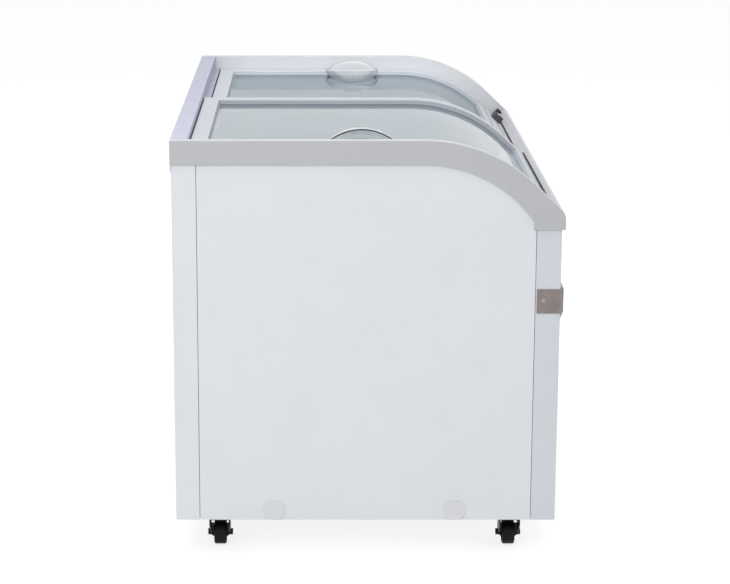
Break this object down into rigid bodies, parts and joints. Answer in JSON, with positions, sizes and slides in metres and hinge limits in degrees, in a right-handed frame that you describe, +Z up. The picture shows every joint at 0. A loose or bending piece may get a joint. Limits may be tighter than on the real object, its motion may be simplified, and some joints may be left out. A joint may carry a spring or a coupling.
{
  "type": "display freezer",
  "caption": "Free-standing chest display freezer with curved sliding glass lids, cup pulls, stepped lid tracks, a front bumper rail and swivel casters.",
  "frame": {"origin": "on the floor, under the middle of the freezer", "axes": "+X towards the customer's right along the length, the front faces -Y, +Z up"},
  "size_m": [1.2, 0.768, 0.8635],
  "materials": {
    "white_steel": "smooth white powder coat",
    "trim": "light grey moulded plastic",
    "rear_trim": "light grey moulded plastic",
    "lid_frame": "light grey moulded plastic",
    "lid_glass": "clear tempered glass",
    "handle": "light grey moulded plastic",
    "nylon": "plain",
    "liner": "stucco embossed",
    "foam": "rigid foam",
    "galvanised": "galvanised sheet",
    "zinc": "zinc plated",
    "bracket": "satin grey coat",
    "screw": "polished",
    "copper": "plain copper tube",
    "black_steel": "black enamel",
    "black_plastic": "fine texture",
    "grey_plastic": "fine texture",
    "lamp": "clear coloured lens",
    "rubber": "plain",
    "fan": "plain",
    "lock": "polished"
  },
  "bodies": {
    "cabinet": {"base_tray": "galvanised", "front_panel": "white_steel", "rear_panel": "white_steel", "left_side_panel": "white_steel", "right_side_panel": "white_steel", "foam_insulation": "foam", "inner_liner": "liner", "machine_bulkhead": "galvanised", "evaporator_coil": "copper", "left_end_trim": "trim", "right_end_trim": "trim", "rear_trim": "rear_trim", "front_trim": "trim", "side_plugs": "grey_plastic", "bumper_rail": "trim", "bumper_brackets": "bracket", "bracket_screws": "screw", "front_grille": "grey_plastic", "rear_grille": "black_plastic", "control_panel": "grey_plastic", "indicator_lamps": "lamp", "compressor": "black_steel", "compressor_feet": "rubber", "terminal_box": "black_plastic", "condenser": "black_steel", "fan_shroud": "galvanised", "fan_motor": "black_steel", "filter_drier": "copper", "refrigerant_pipes": "copper", "cord_gland": "black_plastic", "caster_plates": "zinc", "lock_body": "black_plastic", "track_stop": "rubber"},
    "left_lid": {"left_lid_glass": "lid_glass", "left_lid_outer_frame": "lid_frame", "left_lid_inner_frame": "lid_frame", "left_lid_rear_frame": "lid_frame", "left_lid_front_frame": "lid_frame", "left_lid_handle": "handle", "left_lid_gliders": "nylon"},
    "right_lid": {"right_lid_glass": "lid_glass", "right_lid_outer_frame": "lid_frame", "right_lid_inner_frame": "lid_frame", "right_lid_rear_frame": "lid_frame", "right_lid_front_frame": "lid_frame", "right_lid_handle": "handle", "right_lid_gliders": "nylon"},
    "thermostat_knob": {"thermostat_knob": "black_plastic"},
    "fan_blade": {"fan_blade": "fan"},
    "lock_cylinder": {"lock_cylinder": "lock"},
    "front_left_fork": {"front_left_caster_fork": "black_steel"},
    "front_left_wheel": {"front_left_caster_wheel": "rubber"},
    "front_right_fork": {"front_right_caster_fork": "black_steel"},
    "front_right_wheel": {"front_right_caster_wheel": "rubber"},
    "rear_left_fork": {"rear_left_caster_fork": "black_steel"},
    "rear_left_wheel": {"rear_left_caster_wheel": "rubber"},
    "rear_right_fork": {"rear_right_caster_fork": "black_steel"},
    "rear_right_wheel": {"rear_right_caster_wheel": "rubber"}
  },
  "joints": [
    {"name": "left_lid_slide", "type": "slide", "parent": "cabinet", "child": "left_lid", "axis": [1, 0, 0], "range_m": [0, 0.4242]},
    {"name": "right_lid_slide", "type": "slide", "parent": "cabinet", "child": "right_lid", "axis": [1, 0, 0], "range_m": [-0.4242, 0]},
    {"name": "thermostat_turn", "type": "hinge", "parent": "cabinet", "child": "thermostat_knob", "pos_m": [0.318, -0.365, 0.233], "axis": [0, -1, 0], "range_deg": [0, 270]},
    {"name": "fan_spin", "type": "hinge", "parent": "cabinet", "child": "fan_blade", "pos_m": [0.47, -0.265, 0.1915], "axis": [0, 1, 0], "continuous": true},
    {"name": "lock_turn", "type": "hinge", "parent": "cabinet", "child": "lock_cylinder", "pos_m": [0.494, -0.34997, 0.71638], "axis": [0, -0.6884, 0.7254], "range_deg": [0, 90]},
    {"name": "front_left_swivel", "type": "hinge", "parent": "cabinet", "child": "front_left_fork", "pos_m": [-0.54, -0.291, 0.066], "axis": [0, 0, 1], "continuous": true},
    {"name": "front_left_roll", "type": "hinge", "parent": "front_left_fork", "child": "front_left_wheel", "pos_m": [-0.522, -0.291, 0.025], "axis": [0, 1, 0], "continuous": true},
    {"name": "front_right_swivel", "type": "hinge", "parent": "cabinet", "child": "front_right_fork", "pos_m": [0.54, -0.291, 0.066], "axis": [0, 0, 1], "continuous": true},
    {"name": "front_right_roll", "type": "hinge", "parent": "front_right_fork", "child": "front_right_wheel", "pos_m": [0.558, -0.291, 0.025], "axis": [0, 1, 0], "continuous": true},
    {"name": "rear_left_swivel", "type": "hinge", "parent": "cabinet", "child": "rear_left_fork", "pos_m": [-0.54, 0.296, 0.066], "axis": [0, 0, 1], "continuous": true},
    {"name": "rear_left_roll", "type": "hinge", "parent": "rear_left_fork", "child": "rear_left_wheel", "pos_m": [-0.522, 0.296, 0.025], "axis": [0, 1, 0], "continuous": true},
    {"name": "rear_right_swivel", "type": "hinge", "parent": "cabinet", "child": "rear_right_fork", "pos_m": [0.54, 0.296, 0.066], "axis": [0, 0, 1], "continuous": true},
    {"name": "rear_right_roll", "type": "hinge", "parent": "rear_right_fork", "child": "rear_right_wheel", "pos_m": [0.558, 0.296, 0.025], "axis": [0, 1, 0], "continuous": true}
  ]
}
